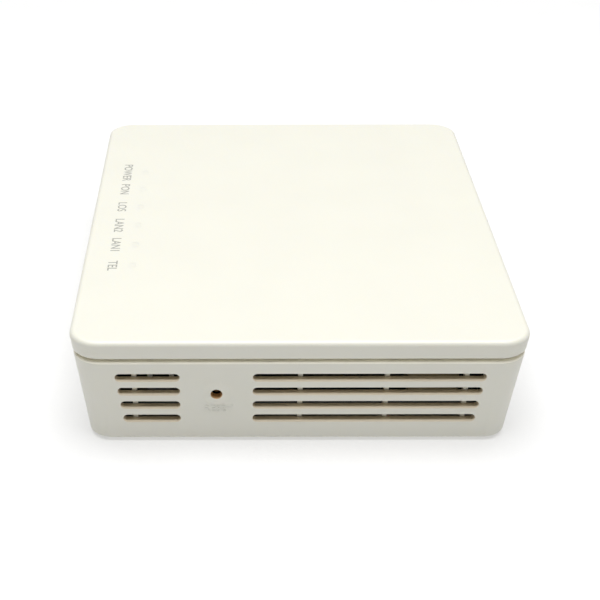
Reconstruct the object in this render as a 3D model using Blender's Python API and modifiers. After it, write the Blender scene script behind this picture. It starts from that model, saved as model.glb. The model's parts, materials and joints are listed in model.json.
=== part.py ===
"""Optical network terminal: a desktop box that turns a fibre line into LAN and telephone sockets.

Frame: metres, +Z up, origin under the middle of the box at the level of its rubber feet.
-Y is the wall with the reset hole, +X is the wall with the sockets, and the lamps stand along the -X edge.
"""

import math

import bmesh
import bpy
from mathutils import Matrix, Vector

MM = 0.001

# Case, outside
WIDTH = 107.7 * MM
DEPTH = 135.6 * MM
FOOT_DROP = 0.7 * MM
BASE_Z = FOOT_DROP
TOP_Z = 29.55 * MM
SIDE_DRAFT = 3.42 * MM
FRONT_DRAFT = 3.39 * MM
CORNER_RADIUS_TOP = 7.1 * MM
CORNER_RADIUS_BASE = 5.8 * MM
TOP_FILLET = 1.2 * MM
BASE_FILLET = 0.8 * MM
FILLET_STEPS = 3
CORNER_STEPS = 6

# Case, walls and seam
WALL = 1.8 * MM
SKIRT_BASE_Z = TOP_Z - 4.7 * MM
RIM_Z = TOP_Z - 5.7 * MM
SKIRT_WALL = 1.0 * MM
GAP = 0.3 * MM
LIP_INSET = SKIRT_WALL + GAP
LIP_WALL = 0.9 * MM
LIP_TOP_Z = TOP_Z - 3.5 * MM
CEILING_Z = TOP_Z - WALL
FLOOR_Z = BASE_Z + WALL

# Vent slots
SLOT_HEIGHT = 1.85 * MM
SLOT_PITCH = 4.1 * MM
SLOT_TOP_ROW_Z = 19.53 * MM
SLOT_ROWS = 4
SHORT_SLOT_MARGIN = 9.5 * MM
LONG_SLOT_MARGIN = 9.1 * MM
SHORT_SLOT_INNER_X = -28.1 * MM
LONG_SLOT_INNER_X = -10.95 * MM
RIB_XS = (-38.9 * MM, 0.3 * MM, 20.7 * MM, 39.4 * MM)
RIB_WIDTH = 1.1 * MM
RIB_RECESS = 1.6 * MM
RIB_DEPTH = 1.8 * MM

# Reset hole
RESET_X = -19.5 * MM
RESET_Z = 14.7 * MM
RESET_HOLE_RADIUS = 1.35 * MM
COLLAR_RADIUS = 3.7 * MM
COLLAR_TOP_RADIUS = 1.8 * MM
COLLAR_HEIGHT = 0.35 * MM
COLLAR_ROOT = 0.2 * MM
RESET_TRAVEL = 0.3 * MM
RESET_SETBACK = 1.2 * MM

# Lamps
LAMP_X = -41.0 * MM
LAMP_PITCH = 11.75 * MM
LAMP_NAMES = ("power", "pon", "los", "lan2", "lan1", "tel")
LAMP_WINDOW = (1.5 * MM, 3.0 * MM)

# Circuit board
BOARD_BASE_Z = 8.0 * MM
BOARD_TOP_Z = 9.6 * MM
SEAT_Z = BOARD_TOP_Z + GAP
BOARD_LOW = (-47.5 * MM, -60.5 * MM)
BOARD_HIGH = (46.5 * MM, 60.5 * MM)

# Fasteners and feet
COLUMN_XY = (47.2 * MM, 58.5 * MM)
COLUMN_RADIUS = 2.9 * MM
COLUMN_TOP_Z = 13.0 * MM
BOSS_RADIUS = 2.5 * MM
SCREW_HEAD_RADIUS = 1.9 * MM
SCREW_SHANK_RADIUS = 1.0 * MM
CASE_SCREW_HEAD_Z = 8.0 * MM
BOARD_SCREW_XY = (
    (-40.0 * MM, -46.0 * MM),
    (-36.0 * MM, 46.0 * MM),
    (14.0 * MM, -50.0 * MM),
    (27.0 * MM, 53.0 * MM),
)
FOOT_XY = (36.0 * MM, 51.0 * MM)
FOOT_RADIUS = 5.0 * MM
KEYHOLE_YS = (-40.0 * MM, 40.0 * MM)
KEYHOLE_RADIUS = 3.8 * MM
KEYHOLE_SLOT = (9.0 * MM, 4.2 * MM)

# Socket wall: centres along Y, and the plane of the sockets' faces
SOCKET_FACE_X = 51.2 * MM
TEL_Y = -45.0 * MM
LAN_YS = (-27.0 * MM, -8.5 * MM)
FIBRE_Y = 11.0 * MM
DC_Y = 31.0 * MM
BUTTON_Y = 47.0 * MM
SOCKET_CLEARANCE = 0.4 * MM
LAN_SIZE = (16.0 * MM, 15.9 * MM, 12.6 * MM)
TEL_SIZE = (14.0 * MM, 13.2 * MM, 12.0 * MM)
DC_SIZE = (14.0 * MM, 9.0 * MM, 11.0 * MM)
FIBRE_SIZE = (21.7 * MM, 13.0 * MM, 10.6 * MM)
FIBRE_AXIS_Z = 15.2 * MM
BUTTON_AXIS_Z = 15.0 * MM
BUTTON_SIZE = 7.4 * MM
BUTTON_FACE_X = 53.6 * MM
BUTTON_TRAVEL = 1.5 * MM


# ---------------------------------------------------------------- helpers

def clear_scene():
    for old in list(bpy.data.objects):
        bpy.data.objects.remove(old, do_unlink=True)


def make_collection(name):
    collection = bpy.data.collections.new(name)
    bpy.context.scene.collection.children.link(collection)
    return collection


def make_material(name, colour, roughness, metallic=0.0):
    material = bpy.data.materials.new(name)
    material.use_nodes = True
    shader = material.node_tree.nodes["Principled BSDF"]
    shader.inputs["Base Color"].default_value = (*colour, 1.0)
    shader.inputs["Roughness"].default_value = roughness
    shader.inputs["Metallic"].default_value = metallic
    return material


def add_box(mesh, low, high, round_axis=None, radius=0.0, steps=3):
    """Adds a box between two corners. The four edges along round_axis (0, 1 or 2) are rounded."""
    size = Vector(high) - Vector(low)
    centre = (Vector(high) + Vector(low)) / 2
    place = Matrix.Translation(centre) @ Matrix.Diagonal((*size, 1.0))
    made = bmesh.ops.create_cube(mesh, size=1.0, matrix=place)
    if round_axis is None:
        return
    corners = set(made["verts"])
    edges = {edge for vert in corners for edge in vert.link_edges}
    along = [
        edge for edge in edges
        if abs((edge.verts[0].co - edge.verts[1].co)[round_axis]) > size[round_axis] / 2
    ]
    bmesh.ops.bevel(mesh, geom=along, offset=radius, segments=steps, profile=0.5, affect="EDGES")


def add_cylinder(mesh, radius, start, end, sides=16, end_radius=None):
    """Adds a capped cylinder whose axis runs from start to end, or a cone if it has an end_radius."""
    start, end = Vector(start), Vector(end)
    turn = (end - start).to_track_quat("Z", "Y").to_matrix().to_4x4()
    bmesh.ops.create_cone(
        mesh, cap_ends=True, segments=sides,
        radius1=radius, radius2=radius if end_radius is None else end_radius,
        depth=(end - start).length, matrix=Matrix.Translation((start + end) / 2) @ turn,
    )


def finish_mesh(name, mesh, material, collection):
    data = bpy.data.meshes.new(name)
    bmesh.ops.recalc_face_normals(mesh, faces=mesh.faces[:])
    mesh.to_mesh(data)
    mesh.free()
    if material:
        data.materials.append(material)
    piece = bpy.data.objects.new(name, data)
    collection.objects.link(piece)
    return piece


def solid(name, material, fill):
    """Makes a part from the shapes that fill(mesh) adds."""
    mesh = bmesh.new()
    fill(mesh)
    return finish_mesh(name, mesh, material, parts)


def tool(name, fill):
    """Makes a hidden cutter or filler for a Boolean."""
    mesh = bmesh.new()
    fill(mesh)
    piece = finish_mesh(name, mesh, None, cutters)
    piece.display_type = "WIRE"
    piece.hide_render = True
    return piece


def combine(piece, other, operation):
    modifier = piece.modifiers.new(other.name, "BOOLEAN")
    modifier.operation = operation
    modifier.solver = "EXACT"
    modifier.object = other


def cut(piece, name, fill):
    combine(piece, tool(name, fill), "DIFFERENCE")


def join(piece, name, fill):
    combine(piece, tool(name, fill), "UNION")


def box_part(name, material, low, high, round_axis=None, radius=0.0):
    return solid(name, material, lambda mesh: add_box(mesh, low, high, round_axis, radius))


def on_board(x, y, width, depth, height):
    """The corners of a component that sits on the board with its middle at (x, y)."""
    low = (x - width / 2, y - depth / 2, SEAT_Z)
    high = (x + width / 2, y + depth / 2, SEAT_Z + height)
    return low, high


def ring_points(z, width, depth, radius):
    """A rounded rectangle at height z, anticlockwise from above."""
    points = []
    for quarter, (side_x, side_y) in enumerate(((1, 1), (-1, 1), (-1, -1), (1, -1))):
        middle_x = side_x * (width / 2 - radius)
        middle_y = side_y * (depth / 2 - radius)
        for step in range(CORNER_STEPS + 1):
            angle = math.pi / 2 * (quarter + step / CORNER_STEPS)
            points.append((middle_x + radius * math.cos(angle), middle_y + radius * math.sin(angle), z))
    return points


def loft(mesh, rings):
    """Skins rings of equal point counts one after another and caps the first and the last."""
    loops = [[mesh.verts.new(point) for point in ring_points(*ring)] for ring in rings]
    for lower, upper in zip(loops, loops[1:]):
        for index in range(len(lower)):
            after = (index + 1) % len(lower)
            mesh.faces.new((lower[index], lower[after], upper[after], upper[index]))
    mesh.faces.new(loops[0])
    mesh.faces.new(loops[-1])


def fall(z):
    """How far down the draft a height is: 0 at the foot of the top fillet, 1 at the base."""
    widest_z = TOP_Z - TOP_FILLET
    return max(widest_z - z, 0) / (widest_z - BASE_Z)


def half_width(z):
    return WIDTH / 2 - SIDE_DRAFT * fall(z)


def half_depth(z):
    return DEPTH / 2 - FRONT_DRAFT * fall(z)


def section(z, inset):
    """The case's outline at height z, moved inwards by inset."""
    radius = CORNER_RADIUS_TOP + (CORNER_RADIUS_BASE - CORNER_RADIUS_TOP) * fall(z)
    return z, 2 * (half_width(z) - inset), 2 * (half_depth(z) - inset), max(radius - inset, 1.2 * MM)


def fillet_sections(edge_z, radius, inward):
    """Rings round a fillet, from the flat face (inward = -1 above, 1 below) to the wall."""
    rings = []
    for step in range(FILLET_STEPS + 1):
        angle = math.pi / 2 * step / FILLET_STEPS
        z = edge_z + inward * radius * (1 - math.cos(angle))
        rings.append(section(z, radius * (1 - math.sin(angle))))
    return rings


def corners(x, y):
    """The four points (x, y) mirrored in both axes."""
    return [(side_x * x, side_y * y) for side_x in (-1, 1) for side_y in (-1, 1)]


def turned(name, material, profile, place, sides=14):
    """Turns a profile of (radius, height) in millimetres, from top to bottom, about place's Z axis."""
    data = bpy.data.meshes.new(name)
    points = [(radius * MM, 0.0, height * MM) for radius, height in profile]
    data.from_pydata(points, [(i, i + 1) for i in range(len(points) - 1)], [])
    data.materials.append(material)
    piece = bpy.data.objects.new(name, data)
    parts.objects.link(piece)
    piece.matrix_world = place
    screw = piece.modifiers.new("turn", "SCREW")
    screw.axis = "Z"
    screw.steps = sides
    screw.render_steps = sides
    screw.use_merge_vertices = True
    screw.merge_threshold = 0.00001
    return piece


# ---------------------------------------------------------------- case

def make_top_cover():
    rings = fillet_sections(TOP_Z, TOP_FILLET, -1) + [
        section(SKIRT_BASE_Z + GAP, 0),
        section(SKIRT_BASE_Z, GAP / 2),
        section(SKIRT_BASE_Z, SKIRT_WALL),
        section(LIP_TOP_Z + SKIRT_WALL, SKIRT_WALL),
        section(CEILING_Z, WALL),
    ]
    cover = solid("top_cover", white_plastic, lambda mesh: loft(mesh, rings))

    def bosses(mesh):
        for x, y in corners(*COLUMN_XY):
            add_cylinder(mesh, BOSS_RADIUS, (x, y, COLUMN_TOP_Z + GAP), (x, y, CEILING_Z + WALL / 2))

    def pilot_holes(mesh):
        radius = SCREW_SHANK_RADIUS + GAP
        for x, y in corners(*COLUMN_XY):
            add_cylinder(mesh, radius, (x, y, COLUMN_TOP_Z - WALL), (x, y, CEILING_Z - WALL))

    def lamp_windows(mesh):
        for y in lamp_ys():
            low, high = lamp_box(y, CEILING_Z - WALL, TOP_Z + WALL, GAP)
            add_box(mesh, low, high, round_axis=2, radius=0.9 * MM)

    join(cover, "cover_bosses", bosses)
    cut(cover, "cover_pilot_holes", pilot_holes)
    cut(cover, "cover_lamp_windows", lamp_windows)


def lamp_ys():
    middle = (len(LAMP_NAMES) - 1) / 2
    return [(middle - index) * LAMP_PITCH for index in range(len(LAMP_NAMES))]


def lamp_box(y, low_z, high_z, margin=0.0):
    """The corners of a lamp window's outline between two heights."""
    half_x = LAMP_WINDOW[0] / 2 + margin
    half_y = LAMP_WINDOW[1] / 2 + margin
    return (LAMP_X - half_x, y - half_y, low_z), (LAMP_X + half_x, y + half_y, high_z)


def vent_slots(mesh, side):
    """Two groups of slots through the wall on one side (-1 or 1) of the Y axis."""
    for row in range(SLOT_ROWS):
        z = SLOT_TOP_ROW_Z - row * SLOT_PITCH
        short = (SHORT_SLOT_MARGIN - half_width(z), SHORT_SLOT_INNER_X)
        long = (LONG_SLOT_INNER_X, half_width(z) - LONG_SLOT_MARGIN)
        wall_y = side * (half_depth(z) - WALL / 2)
        for low_x, high_x in (short, long):
            add_box(
                mesh,
                (low_x, wall_y - 1.5 * WALL, z - SLOT_HEIGHT / 2),
                (high_x, wall_y + 1.5 * WALL, z + SLOT_HEIGHT / 2),
                round_axis=1, radius=SLOT_HEIGHT * 0.49,
            )


def vent_ribs(mesh, side):
    """Upright ribs that stop the slots, bedded in the wall's inner side and leaning with it."""
    base_z = FLOOR_Z - WALL / 2
    top_z = SLOT_TOP_ROW_Z + SLOT_HEIGHT
    for x in RIB_XS:
        outer_y = half_depth(base_z) - RIB_RECESS
        lean = half_depth(top_z) - half_depth(base_z)
        inner_y = outer_y - RIB_DEPTH
        low = (x - RIB_WIDTH / 2, min(side * inner_y, side * outer_y), base_z)
        high = (x + RIB_WIDTH / 2, max(side * inner_y, side * outer_y), top_z)
        before = set(mesh.verts)
        add_box(mesh, low, high)
        for vert in set(mesh.verts) - before:
            if vert.co.z > (base_z + top_z) / 2:
                vert.co.y += side * lean


def socket_openings(mesh):
    """Openings in the +X wall, each a clearance larger than the socket behind it."""
    inner_x = half_width(FLOOR_Z) - 3 * WALL
    outer_x = half_width(TOP_Z)
    seated = [(y, LAN_SIZE) for y in LAN_YS] + [(TEL_Y, TEL_SIZE), (DC_Y, DC_SIZE), (FIBRE_Y, FIBRE_SIZE)]
    for y, (_, width, height) in seated:
        low = (inner_x, y - width / 2 - SOCKET_CLEARANCE, SEAT_Z - SOCKET_CLEARANCE)
        high = (outer_x, y + width / 2 + SOCKET_CLEARANCE, SEAT_Z + height + SOCKET_CLEARANCE)
        add_box(mesh, low, high, round_axis=0, radius=0.5 * MM)
    half = BUTTON_SIZE / 2 + SOCKET_CLEARANCE
    add_box(
        mesh,
        (inner_x, BUTTON_Y - half, BUTTON_AXIS_Z - half),
        (outer_x, BUTTON_Y + half, BUTTON_AXIS_Z + half),
        round_axis=0, radius=1.4 * MM,
    )


def make_bottom_housing():
    rings = fillet_sections(BASE_Z, BASE_FILLET, 1) + [
        section(RIM_Z - GAP, 0),
        section(RIM_Z, GAP),
        section(RIM_Z, LIP_INSET),
        section(LIP_TOP_Z, LIP_INSET),
        section(LIP_TOP_Z, LIP_INSET + LIP_WALL),
        section(RIM_Z - WALL, LIP_INSET + LIP_WALL),
        section(RIM_Z - WALL - LIP_WALL, WALL),
        section(FLOOR_Z + BASE_FILLET, WALL),
        section(FLOOR_Z, WALL + BASE_FILLET),
    ]
    housing = solid("bottom_housing", white_plastic, lambda mesh: loft(mesh, rings))

    def columns(mesh):
        for x, y in corners(*COLUMN_XY):
            add_cylinder(mesh, COLUMN_RADIUS, (x, y, BASE_Z + WALL / 2), (x, y, COLUMN_TOP_Z))

    def board_posts(mesh):
        for x, y in BOARD_SCREW_XY:
            add_cylinder(mesh, 2.4 * MM, (x, y, BASE_Z + WALL / 2), (x, y, BOARD_BASE_Z - GAP), sides=16)

    def screw_head_holes(mesh):
        for x, y in corners(*COLUMN_XY):
            add_cylinder(mesh, SCREW_HEAD_RADIUS + GAP, (x, y, 0), (x, y, CASE_SCREW_HEAD_Z + 2 * MM))

    def screw_shank_holes(mesh):
        radius = SCREW_SHANK_RADIUS + GAP
        for x, y in corners(*COLUMN_XY):
            add_cylinder(mesh, radius, (x, y, CASE_SCREW_HEAD_Z), (x, y, COLUMN_TOP_Z + WALL))

    def post_holes(mesh):
        for x, y in BOARD_SCREW_XY:
            add_cylinder(mesh, SCREW_SHANK_RADIUS + GAP, (x, y, FLOOR_Z), (x, y, BOARD_TOP_Z), sides=16)

    def foot_recesses(mesh):
        for x, y in corners(*FOOT_XY):
            add_cylinder(mesh, FOOT_RADIUS + GAP, (x, y, 0), (x, y, BASE_Z + WALL / 2))

    def keyhole_heads(mesh):
        for y in KEYHOLE_YS:
            add_cylinder(mesh, KEYHOLE_RADIUS, (0, y, 0), (0, y, FLOOR_Z + WALL))

    def keyhole_slots(mesh):
        length, width = KEYHOLE_SLOT
        for y in KEYHOLE_YS:
            add_box(
                mesh, (-length, y - width / 2, -WALL), (0, y + width / 2, FLOOR_Z + 2 * WALL),
                round_axis=2, radius=width * 0.49,
            )

    def floor_vents(mesh):
        for index in range(-3, 4):
            x = index * 6.0 * MM
            add_box(
                mesh, (x - 1.0 * MM, -15.0 * MM, 0), (x + 1.0 * MM, 15.0 * MM, FLOOR_Z + WALL),
                round_axis=2, radius=0.95 * MM,
            )

    def reset_hole(mesh):
        wall_y = -half_depth(RESET_Z)
        outer = (RESET_X, wall_y - WALL, RESET_Z)
        inner = (RESET_X, wall_y + 2 * WALL, RESET_Z)
        add_cylinder(mesh, RESET_HOLE_RADIUS, outer, inner)

    def reset_collar(mesh):
        lean = math.atan2(half_depth(FLOOR_Z) - half_depth(RIM_Z), RIM_Z - FLOOR_Z)
        outward = Vector((0, -math.cos(lean), math.sin(lean)))
        middle = Vector((RESET_X, -half_depth(RESET_Z), RESET_Z))
        spread = (COLLAR_RADIUS - COLLAR_TOP_RADIUS) / COLLAR_HEIGHT
        add_cylinder(
            mesh, COLLAR_RADIUS + spread * COLLAR_ROOT,
            middle - outward * COLLAR_ROOT, middle + outward * COLLAR_HEIGHT,
            sides=32, end_radius=COLLAR_TOP_RADIUS,
        )

    for side, name in ((-1, "reset_side"), (1, "far_side")):
        cut(housing, f"slots_{name}", lambda mesh, side=side: vent_slots(mesh, side))
        join(housing, f"ribs_{name}", lambda mesh, side=side: vent_ribs(mesh, side))
    join(housing, "screw_columns", columns)
    join(housing, "board_posts", board_posts)
    cut(housing, "sockets", socket_openings)
    cut(housing, "screw_head_holes", screw_head_holes)
    cut(housing, "screw_shank_holes", screw_shank_holes)
    cut(housing, "post_holes", post_holes)
    cut(housing, "foot_recesses", foot_recesses)
    cut(housing, "keyhole_heads", keyhole_heads)
    cut(housing, "keyhole_slots", keyhole_slots)
    cut(housing, "floor_vents", floor_vents)
    join(housing, "reset_collar", reset_collar)
    cut(housing, "reset_hole", reset_hole)


def make_feet_and_screws():
    for index, (x, y) in enumerate(corners(*FOOT_XY), 1):
        def pad(mesh, x=x, y=y):
            add_cylinder(mesh, FOOT_RADIUS, (x, y, 0), (x, y, BASE_Z + WALL / 2 - GAP), sides=24)
        solid(f"rubber_foot_{index}", grey_rubber, pad)
    head = SCREW_HEAD_RADIUS / MM
    shank = SCREW_SHANK_RADIUS / MM
    # The case screws stand head down, with their shanks in the cover's bosses.
    case_screw = (
        (0, 14.5), (shank - 0.6, 14.5), (shank, 13.5), (shank, 1.6), (head, 1.6),
        (head, 0.5), (head - 0.5, 0), (1.1, 0), (0.9, 0.8), (0, 0.8),
    )
    for index, (x, y) in enumerate(corners(*COLUMN_XY), 1):
        turned(f"case_screw_{index}", steel, case_screw, Matrix.Translation((x, y, CASE_SCREW_HEAD_Z)))
    board_screw = (
        (0, 1.0), (0.9, 1.0), (1.1, 1.7), (head - 0.5, 1.7), (head, 1.2),
        (head, 0.3), (shank, 0.3), (shank, -5.2), (shank - 0.6, -6.0), (0, -6.0),
    )
    for index, (x, y) in enumerate(BOARD_SCREW_XY, 1):
        turned(f"board_screw_{index}", steel, board_screw, Matrix.Translation((x, y, BOARD_TOP_Z)))


# ---------------------------------------------------------------- board and its components

def make_board():
    low, high = (*BOARD_LOW, BOARD_BASE_Z), (*BOARD_HIGH, BOARD_TOP_Z)
    board = box_part("main_board", board_green, low, high)

    def corner_notches(mesh):
        reach = COLUMN_RADIUS + 2 * GAP
        for x, y in corners(*COLUMN_XY):
            middle_x, middle_y = x + math.copysign(reach, x) / 2, y + math.copysign(reach, y) / 2
            add_box(
                mesh,
                (middle_x - 1.5 * reach, middle_y - 1.5 * reach, BOARD_BASE_Z - WALL),
                (middle_x + 1.5 * reach, middle_y + 1.5 * reach, BOARD_TOP_Z + WALL),
                round_axis=2, radius=1.5 * MM,
            )

    def screw_holes(mesh):
        radius = SCREW_SHANK_RADIUS + GAP
        for x, y in BOARD_SCREW_XY:
            add_cylinder(mesh, radius, (x, y, BOARD_BASE_Z - WALL), (x, y, BOARD_TOP_Z + WALL), sides=16)

    cut(board, "board_corner_notches", corner_notches)
    cut(board, "board_screw_holes", screw_holes)


def make_light_guide():
    rail_z = CEILING_Z - 4.0 * MM
    span = lamp_ys()[0] + 4 * MM
    guide = box_part(
        "light_guide", clear_plastic,
        (LAMP_X + 0.2 * MM, -span, rail_z), (LAMP_X + 2.6 * MM, span, rail_z + 1.6 * MM),
    )

    def pipes(mesh):
        for y in lamp_ys():
            low, high = lamp_box(y, SEAT_Z + 1.2 * MM, TOP_Z - 0.05 * MM)
            add_box(mesh, low, high, round_axis=2, radius=0.7 * MM)

    join(guide, "light_pipes", pipes)


def make_lamps():
    for name, y in zip(LAMP_NAMES, lamp_ys()):
        low, high = on_board(LAMP_X, y, 1.3 * MM, 2.0 * MM, 0.8 * MM)
        box_part(f"led_{name}", lamp_resin, low, high)


def make_jack(name, y, size, cavity, notch, material):
    """A modular socket facing +X: a main cavity and a stepped notch below it for the plug's latch."""
    length, width, height = size
    cavity_width, cavity_low, cavity_high, cavity_depth = cavity
    notch_width, notch_low = notch
    face = SOCKET_FACE_X
    body = box_part(
        name, material,
        (face - length, y - width / 2, SEAT_Z), (face, y + width / 2, SEAT_Z + height),
        round_axis=0, radius=0.4 * MM,
    )

    def hollow(mesh):
        low = (face - cavity_depth, y - cavity_width / 2, SEAT_Z + cavity_low)
        add_box(mesh, low, (face + WALL, y + cavity_width / 2, SEAT_Z + cavity_high))

    def latch_notch(mesh):
        low = (face - cavity_depth, y - notch_width / 2, SEAT_Z + notch_low)
        add_box(mesh, low, (face + WALL, y + notch_width / 2, SEAT_Z + cavity_low + WALL))

    cut(body, f"{name}_hollow", hollow)
    cut(body, f"{name}_latch_notch", latch_notch)


def make_contacts(name, y, count, pitch, cavity):
    """A comb of spring wires that slope down into the socket from its roof."""
    _, _, cavity_high, cavity_depth = cavity
    wire = 0.45 * MM
    reach = 8.5 * MM
    slope = math.radians(-14)
    root = Vector((SOCKET_FACE_X - cavity_depth + 0.5 * MM, y, SEAT_Z + cavity_high - 2.7 * MM))
    half = (count - 1) / 2 * pitch + wire

    def bar(mesh):
        add_box(mesh, (0, -half, -wire), (wire * 2, half, wire))

    def wires(mesh):
        for index in range(count):
            middle = (index - (count - 1) / 2) * pitch
            add_box(mesh, (wire, middle - wire / 2, -wire / 2), (reach, middle + wire / 2, wire / 2))

    comb = solid(name, gold, bar)
    join(comb, f"{name}_wires", wires)
    place = Matrix.Translation(root) @ Matrix.Rotation(slope, 4, "Y")
    comb.matrix_world = place
    bpy.data.objects[f"{name}_wires"].matrix_world = place


def make_dc_jack():
    length, width, height = DC_SIZE
    axis_z = SEAT_Z + 6.2 * MM
    pin = 1.05 * MM
    bore_depth = 9.5 * MM
    face = SOCKET_FACE_X
    seat_x = face - bore_depth - 2 * MM
    body = box_part(
        "dc_jack", black_plastic,
        (face - length, DC_Y - width / 2, SEAT_Z), (face, DC_Y + width / 2, SEAT_Z + height),
        round_axis=0, radius=0.5 * MM,
    )

    def bore(mesh):
        start, end = (face - bore_depth, DC_Y, axis_z), (face + WALL, DC_Y, axis_z)
        add_cylinder(mesh, 3.2 * MM, start, end, sides=24)

    def pin_seat(mesh):
        start, end = (seat_x, DC_Y, axis_z), (face - WALL, DC_Y, axis_z)
        add_cylinder(mesh, pin + GAP, start, end)

    cut(body, "dc_bore", bore)
    cut(body, "dc_pin_seat", pin_seat)
    radius = pin / MM
    tip = (face - 1.2 * MM - seat_x - GAP) / MM
    profile = ((0, tip), (radius - 0.4, tip), (radius, tip - 0.5), (radius, 0), (0, 0))
    place = Matrix.Translation((seat_x + GAP, DC_Y, axis_z)) @ Matrix.Rotation(math.pi / 2, 4, "Y")
    turned("dc_jack_pin", steel, profile, place, sides=16)


def make_power_switch():
    low, high = on_board(35.5 * MM, BUTTON_Y, 9.0 * MM, 8.0 * MM, 8.6 * MM)
    switch = box_part("power_switch", black_plastic, low, high, round_axis=2, radius=0.5 * MM)
    stem_end_x = high[0] - 1.8 * MM

    def stem_hole(mesh):
        half = 2.0 * MM
        add_box(
            mesh,
            (stem_end_x - BUTTON_TRAVEL - 2 * GAP, BUTTON_Y - half, BUTTON_AXIS_Z - half),
            (high[0] + WALL, BUTTON_Y + half, BUTTON_AXIS_Z + half),
        )

    cut(switch, "power_switch_stem_hole", stem_hole)
    half = BUTTON_SIZE / 2
    cap_base_x = high[0] + BUTTON_TRAVEL + 2.9 * MM
    button = box_part(
        "power_button", grey_plastic,
        (cap_base_x, BUTTON_Y - half, BUTTON_AXIS_Z - half),
        (BUTTON_FACE_X, BUTTON_Y + half, BUTTON_AXIS_Z + half),
        round_axis=0, radius=1.2 * MM,
    )

    def stem(mesh):
        half = 1.5 * MM
        add_box(
            mesh,
            (stem_end_x, BUTTON_Y - half, BUTTON_AXIS_Z - half),
            (cap_base_x + WALL, BUTTON_Y + half, BUTTON_AXIS_Z + half),
        )

    join(button, "power_button_stem", stem)


def make_reset_switch():
    wall_y = -half_depth(RESET_Z) + WALL
    low = (RESET_X - 3.6 * MM, BOARD_LOW[1] + 0.5 * MM, SEAT_Z)
    high = (RESET_X + 3.6 * MM, BOARD_LOW[1] + 4.5 * MM, SEAT_Z + 8.0 * MM)
    switch = box_part("reset_switch", black_plastic, low, high, round_axis=2, radius=0.4 * MM)
    plunger_base = low[1] + 1.0 * MM
    seat_end = plunger_base + RESET_TRAVEL + GAP

    def seat(mesh):
        add_cylinder(mesh, 2.0 * MM, (RESET_X, low[1] - WALL, RESET_Z), (RESET_X, seat_end, RESET_Z))

    cut(switch, "reset_plunger_seat", seat)
    tip = (plunger_base - wall_y - RESET_SETBACK) / MM
    profile = ((0, tip), (1.3, tip), (1.6, tip - 0.3), (1.6, 0), (0, 0))
    place = Matrix.Translation((RESET_X, plunger_base, RESET_Z)) @ Matrix.Rotation(math.pi / 2, 4, "X")
    turned("reset_plunger", tan_plastic, profile, place)


def make_optics():
    length, width, height = FIBRE_SIZE
    face = SOCKET_FACE_X
    axis_z = FIBRE_AXIS_Z
    shoulder_x = face - 12.0 * MM
    receptacle = box_part(
        "optical_receptacle", blue_plastic,
        (face - length, FIBRE_Y - width / 2, SEAT_Z), (face, FIBRE_Y + width / 2, SEAT_Z + height),
        round_axis=0, radius=0.6 * MM,
    )

    def plug_space(mesh):
        low = (shoulder_x, FIBRE_Y - 4.6 * MM, axis_z - 3.8 * MM)
        add_box(mesh, low, (face + WALL, FIBRE_Y + 4.6 * MM, axis_z + 3.8 * MM))

    def barrel_bore(mesh):
        start, end = (face - length - WALL, FIBRE_Y, axis_z), (face - WALL, FIBRE_Y, axis_z)
        add_cylinder(mesh, 3.3 * MM, start, end, sides=24)

    cut(receptacle, "receptacle_plug_space", plug_space)
    cut(receptacle, "receptacle_barrel_bore", barrel_bore)

    # Laser can, barrel and ferrule on one axis, from the back to the front.
    rear_x = 12.0 * MM
    laser = (
        (0, 34.0), (1.0, 34.0), (1.25, 33.6), (1.25, 26.5), (3.0, 26.5), (3.0, 10.0), (4.0, 10.0),
        (4.0, 8.0), (2.8, 8.0), (2.8, 2.0), (3.1, 2.0), (3.1, 0.0), (0, 0.0),
    )
    place = Matrix.Translation((rear_x, FIBRE_Y, axis_z)) @ Matrix.Rotation(math.pi / 2, 4, "Y")
    turned("optical_subassembly", steel, laser, place, sides=20)

    # The receiver's can leaves the barrel sideways.
    receiver = ((0, 6.0), (2.7, 6.0), (2.7, 1.4), (3.0, 1.4), (3.0, 0.0), (0, 0.0))
    place = Matrix.Translation((25.5 * MM, FIBRE_Y - 3.3 * MM, axis_z))
    place @= Matrix.Rotation(math.pi / 2, 4, "X")
    turned("photodiode_can", gold, receiver, place)

    plug = box_part(
        "optical_dust_plug", grey_rubber,
        (face - 4.6 * MM, FIBRE_Y - 4.2 * MM, axis_z - 3.4 * MM),
        (face + 1.8 * MM, FIBRE_Y + 4.2 * MM, axis_z + 3.4 * MM),
        round_axis=0, radius=0.8 * MM,
    )

    def grip(mesh):
        low = (face + 1.3 * MM, FIBRE_Y - 5.2 * MM, axis_z - 4.4 * MM)
        high = (BUTTON_FACE_X, FIBRE_Y + 5.2 * MM, axis_z + 4.4 * MM)
        add_box(mesh, low, high, round_axis=0, radius=1.2 * MM)

    join(plug, "dust_plug_grip", grip)


def make_debug_header():
    """A low pin header with a tall ear at each end."""
    low, high = on_board(-32.95 * MM, -58.2 * MM, 6.3 * MM, 4.0 * MM, 2.6 * MM)
    header = box_part("debug_header", white_plastic, low, high)
    ear = 1.1 * MM

    def ears(mesh):
        for side_x in (low[0], high[0] - ear):
            add_box(
                mesh, (side_x, low[1] + 0.5 * MM, low[2] + 1.0 * MM),
                (side_x + ear, high[1] - 0.5 * MM, low[2] + 7.5 * MM),
            )

    join(header, "debug_header_ears", ears)


def make_heatsink(x, y, base_z):
    """A finned plate over the processor: fins stand on the base plate along X."""
    size, base, height = 26.0 * MM, 2.0 * MM, 7.5 * MM
    fins, fin = 8, 1.0 * MM
    low = (x - size / 2, y - size / 2, base_z)
    sink = box_part("heatsink", aluminium, low, (x + size / 2, y + size / 2, base_z + base))

    def fin_row(mesh):
        for index in range(fins):
            start = low[1] + 0.2 * MM + index * (size - fin - 0.4 * MM) / (fins - 1)
            add_box(
                mesh, (low[0] + 0.2 * MM, start, base_z + base / 2),
                (low[0] + size - 0.2 * MM, start + fin, base_z + height),
            )

    join(sink, "heatsink_fins", fin_row)


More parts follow.
